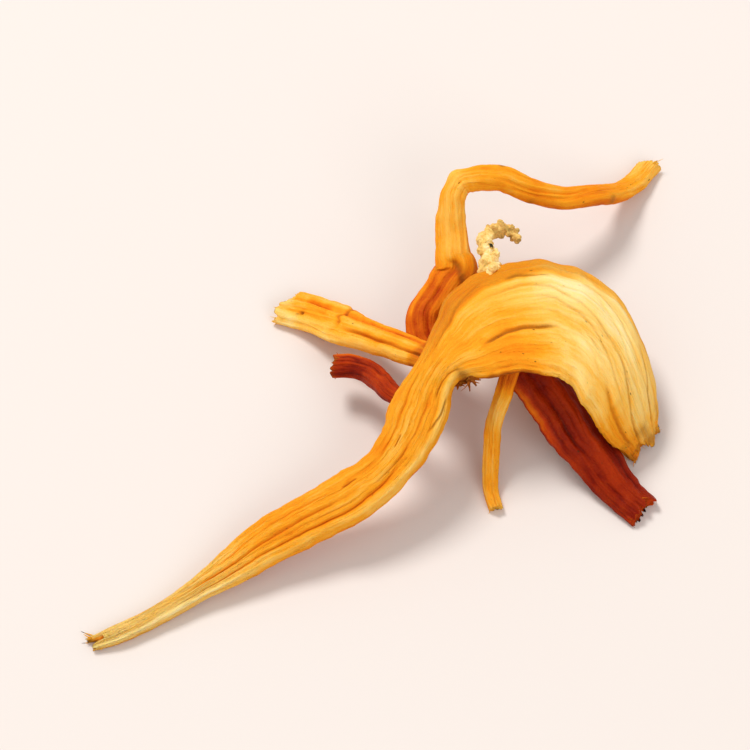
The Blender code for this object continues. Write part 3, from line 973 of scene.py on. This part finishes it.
def crooked():
    def look(grid):
        part, side, top = grid["part"], grid["side"], grid["top"]
        # The dark root in these tones is painted shade under the other strands.
        tone = np.interp(part, CROOKED_TONE_AT, CROOKED_TONE)
        knot = bump_at(part, 0.29, 0.05)
        tone += 0.12 * stroke(part, side, ((0.19, -0.7), (0.22, -0.72), (0.26, -0.75)), 0.18)
        tone -= 0.10 * smoothstep(0.2, 0.9, side) * knot
        # Painted shade: the underside darker and browner.
        tone = tone - 0.10 * (1 - top) + 0.03 * side
        brown = 0.12 * (1 - top) + 0.25 * knot * smoothstep(0.0, 0.8, side)
        crease = stroke(part, side, ((0.290, 1.1), (0.315, 0.3), (0.345, -0.3)), 0.20)
        brown = brown + 0.6 * crease + spots(part, side, [(0.9, (0.577, -0.90), (0.006, 0.15)),
                                                          (0.6, (0.835, 0.98), (0.010, 0.15)),
                                                          (0.6, (0.651, 0.98), (0.008, 0.15))])
        elbow = bump_at(part, 0.50, 0.02) * (side > 0)
        extra = 0.03 * np.sin(grid["along"] * 14.0) * elbow
        extra = extra - top * strokes(part, side, [
            (0.07, ((0.02, 0.2), (0.17, 0.1), (0.30, -0.1)), 0.16),
            (0.07, ((0.14, -0.4), (0.22, -0.4), (0.29, -0.5)), 0.12),
            (0.12, ((0.55, 0.3), (0.7, 0.1), (0.84, 0.3)), 0.16),
        ])
        extra = extra - 0.14 * crease + 0.06 * knot * fibres(grid["along"], grid["angle"], 0.9, 9, 93)
        extra += 0.26 * spot(part, side, (0.497, -1.0), (0.010, 0.6))
        return extra, tone, brown

    one_strand("crooked_strand_skin", "crooked_strand", CROOKED_STATIONS, sides=104, seed=21,
               folds=5, look=look, material=skin_material("crooked_skin", contrast=0.85),
               end=(0.10, 0.07, 0.66), slant=-0.4)


def left_broken():
    def look(grid):
        part, side, top = grid["part"], grid["side"], grid["top"]
        ragged = 0.018 * fibres(grid["along"] * 0, grid["angle"], 1.0, 14, 91)
        step = smoothstep(0.668, 0.682, part + ragged)
        seam = bump_at(part + ragged, 0.668, 0.009) * smoothstep(-0.5, -0.1, side) * top
        broken = smoothstep(0.88, 0.96, part - 0.05 * side)
        tone = 0.62 + 0.05 * smoothstep(-0.2, -0.6, side) + 0.08 * broken
        tone -= 0.06 * smoothstep(0.0, 0.3, side) * (1 - step)
        # Painted shade: darker and browner where the root runs under the stem.
        hidden = smoothstep(0.235, 0.19, part)
        tone = tone - 0.17 * hidden + top * strokes(part, side, [
            (0.10, ((0.1, 0.05), (0.45, 0.0), (0.67, 0.05)), 0.14),
            (-0.16, ((0.72, 0.3), (0.80, 0.35), (0.88, 0.5)), 0.3),
        ])
        # Painted shade: the underside darker and browner, save at the broken end.
        tone = tone - 0.10 * (1 - top) - 0.12 * seam
        brown = 0.10 * (1 - top) * (1 - broken) + 0.45 * seam + 0.35 * hidden
        brown = brown + spots(part, side, [(1.0, (0.862, -0.33), (0.010, 0.10)),
                                           (0.7, (0.885, -0.45), (0.012, 0.08))])
        groove = stroke(part, side, ((0.0, -0.45), (0.45, -0.40), (0.68, -0.45)), 0.10) * top
        brown += 0.50 * groove
        grooves = strokes(part, side, [
            (0.15, ((0.1, 0.5), (0.5, 0.52), (0.95, 0.35)), 0.11),
            (0.14, ((0.70, -0.05), (0.85, -0.12), (1.0, -0.1)), 0.10),
        ])
        pit = spot(part, side, (0.862, -0.33), (0.012, 0.16))
        extra = -0.24 * groove - (grooves + 0.2 * pit) * top
        return extra + (0.06 * step - 0.06 * seam) * top, tone, brown

    one_strand("left_strand_skin", "left_broken_strand", LEFT_STATIONS, sides=120, seed=22,
               folds=6, look=look, material=skin_material("left_skin"),
               end=(0.35, 0.16, 0.76), tear=(26, 0.30), threads=6, slant=0.9)


def dark_broken():
    def look(grid):
        part, side = grid["part"], grid["side"]
        tone = 0.19 + 0.22 * smoothstep(0.5, 0.95, side) * bump_at(part, 0.85, 0.15)
        brown = 0.35 * smoothstep(0.95, 1.0, part)
        return 0.0 * tone, tone, brown

    one_strand("dark_stub_skin", "dark_broken_strand", DARK_STATIONS, sides=76, seed=23,
               folds=5, look=look,
               material=skin_material("dark_skin", rough=(0.4, 0.6), contrast=0.7),
               end=(0.12, 0.09, 0.30), tear=(16, 0.2), threads=4)


def red_leg():
    def look(grid):
        part, side, top = grid["part"], grid["side"], grid["top"]
        edge = smoothstep(0.7, 0.97, side) * top * (0.20 - 0.12 * smoothstep(0.40, 0.60, part))
        # The leg's very dark red is partly its own colour and partly painted shade, as it lies under
        # the hood.
        tone = 0.14 + edge + 0.06 * bump_at(part, 0.40, 0.07) * smoothstep(-0.2, 0.2, side)
        groove = stroke(part, side, ((0.1, 0.42), (0.5, 0.36), (0.98, 0.45)), 0.10) * top
        ridge = stroke(part, side, ((0.1, -0.2), (0.5, -0.25), (0.98, -0.15)), 0.2) * top
        return 0.14 * ridge - 0.08 * groove, tone + 0.01 * ridge + 0.05 * groove, 0.0 * tone

    one_strand("red_leg_skin", "red_leg_strand", LEG_STATIONS, sides=120, seed=24,
               folds=7, depth=0.075, look=look,
               material=skin_material("leg_skin", rough=(0.32, 0.50), gloss=0.07, contrast=0.35),
               end=(0.22, 0.12, 0.26), tear=(26, 0.35), threads=6)


def thin():
    def look(grid):
        part, top = grid["part"], grid["top"]
        tone = 0.62 + 0.10 * bump_at(part, 0.36, 0.08) - 0.25 * smoothstep(0.28, 0.12, part)
        # Painted shade: the underside darker.
        tone -= 0.08 * (1 - top)
        return 0.0 * tone, tone, 0.0 * tone

    one_strand("thin_strand_skin", "thin_strand", THIN_STATIONS, sides=60, seed=25,
               folds=4, depth=0.045, look=look, material=skin_material("thin_skin"),
               end=(0.08, 0.05, 0.7), tear=(12, 0.14), threads=4)


def melted(name, lumps, voxel):
    """One mesh round a heap of (centre, radius) lumps, given in millimetres."""
    shape = bmesh.new()
    for centre, radius in lumps:
        verts = bmesh.ops.create_icosphere(shape, subdivisions=2, radius=radius)["verts"]
        bmesh.ops.translate(shape, verts=verts, vec=Vector(centre))
    for vert in shape.verts:
        vert.co = Vector(place(vert.co))
    mesh = bpy.data.meshes.new(name)
    shape.to_mesh(mesh)
    shape.free()
    piece = new_object(name, mesh)
    remesh = piece.modifiers.new("melt", "REMESH")
    remesh.mode = "VOXEL"
    remesh.voxel_size = voxel * MM
    graph = bpy.context.evaluated_depsgraph_get()
    joined = bpy.data.meshes.new_from_object(piece.evaluated_get(graph))
    piece.modifiers.clear()
    piece.data = joined
    return piece


def flake_lumps(route):
    """Lumps of many sizes strewn about the flake's middle line, as (centre, radius)."""
    rng = np.random.default_rng(7)
    lumps = []
    for k, (x, y, z, width, thickness, _) in enumerate(route):
        t = k / (len(route) - 1)
        for _ in range(FLAKE_LUMPS_EACH):
            off = rng.normal(0, 1, 3) * FLAKE_SPREAD * (width, width, thickness)
            off[0] *= 1 - 0.5 * smoothstep(0.5, 0.8, t)
            radius = rng.uniform(*FLAKE_LUMP_RADII) * (1.15 - 0.5 * t)
            lumps.append(((x + off[0], y + off[1], z + off[2]), radius))
    return lumps


def read_vectors(mesh, name):
    """The mesh's points ("co") or their normals ("normal") as rows of three numbers."""
    values = np.empty(len(mesh.vertices) * 3)
    mesh.vertices.foreach_get(name, values)
    return values.reshape(-1, 3)


def tuft():
    """A curled flake of matted threads: lumps melted together, then roughened."""
    route, _ = smooth_table(TUFT_STATIONS, FLAKE_STEPS)
    piece = melted("mycelium_flake", flake_lumps(route), FLAKE_VOXEL)
    mesh = piece.data
    places = read_vectors(mesh, "co")
    normals = read_vectors(mesh, "normal")
    grain = [Vector(p) / MM for p in places]
    rough = [solid_noise.noise(p * 3.0) + 0.7 * solid_noise.noise(p * 8.0) for p in grain]
    places += normals * np.array(rough)[:, None] * FLAKE_ROUGHNESS * MM
    mesh.vertices.foreach_set("co", places.ravel())
    mesh.update()
    mesh.shade_smooth()

    middle = place(route[:, :3])
    reach = np.linalg.norm(places[:, None, :] - middle[None, :, :], axis=2)
    t = reach.argmin(axis=1) / (len(middle) - 1)
    tone = 0.73 - 0.18 * smoothstep(0.52, 0.75, t)
    speck_at = middle[SPECK_STEP] + np.array(SPECK_OFF) * MM
    away = np.linalg.norm(places - speck_at, axis=1)
    tone -= 0.9 * (1 - smoothstep(SPECK_RADII[0] * MM, SPECK_RADII[1] * MM, away))
    paint_mesh(mesh, "tone", tone)
    paint_mesh(mesh, "grain", places / MM)
    mesh.materials.append(tuft_material())
    dress(piece, "mycelium_tuft")


# ---------- floor, light and camera

def stage():
    corners = [(x * FLOOR_HALF, y * FLOOR_HALF, 0) for x, y in ((-1, -1), (1, -1), (1, 1), (-1, 1))]
    mesh = bpy.data.meshes.new("floor")
    mesh.from_pydata(corners, [], [(0, 1, 2, 3)])
    floor = new_object("floor", mesh)
    material = bpy.data.materials.new("pale_floor")
    material.use_nodes = True
    set_inputs(material.node_tree.nodes["Principled BSDF"],
               Base_Color=socket_colour(FLOOR_COLOUR), Roughness=0.9, Specular_IOR_Level=0.1)
    mesh.materials.append(material)


def area_light(name, place_at, size, power, colour):
    light = bpy.data.lights.new(name, "AREA")
    light.shape = "DISK"
    light.size = size
    light.energy = power
    light.color = colour
    lamp = new_object(name, light)
    lamp.location = place_at
    lamp.rotation_euler = (-Vector(place_at)).to_track_quat("-Z", "Y").to_euler()
    lamp.visible_camera = False


def lights():
    world = bpy.data.worlds.new("soft_room")
    world.use_nodes = True
    set_inputs(world.node_tree.nodes["Background"],
               Color=socket_colour(ROOM_COLOUR), Strength=ROOM_STRENGTH)
    bpy.context.scene.world = world
    for lamp in LAMPS:
        area_light(*lamp)


def camera():
    centre = (cad_low + cad_high) / 2
    tilt = math.radians(CAMERA_ELEVATION)
    back = Vector((0.0, -math.cos(tilt), math.sin(tilt)))
    data = bpy.data.cameras.new("camera")
    data.lens = CAMERA_LENS
    data.clip_start = 0.01
    data.clip_end = 5.0
    reach = SEEN_WIDTH * CAMERA_LENS / data.sensor_width
    item = new_object("camera", data)
    item.location = centre + back * reach
    item.rotation_euler = (-back).to_track_quat("-Z", "Y").to_euler()
    bpy.context.scene.camera = item


long_ribbon()
crooked()
left_broken()
dark_broken()
red_leg()
thin()
tuft()
stage()
lights()
camera()
bpy.context.scene.view_settings.view_transform = "Standard"
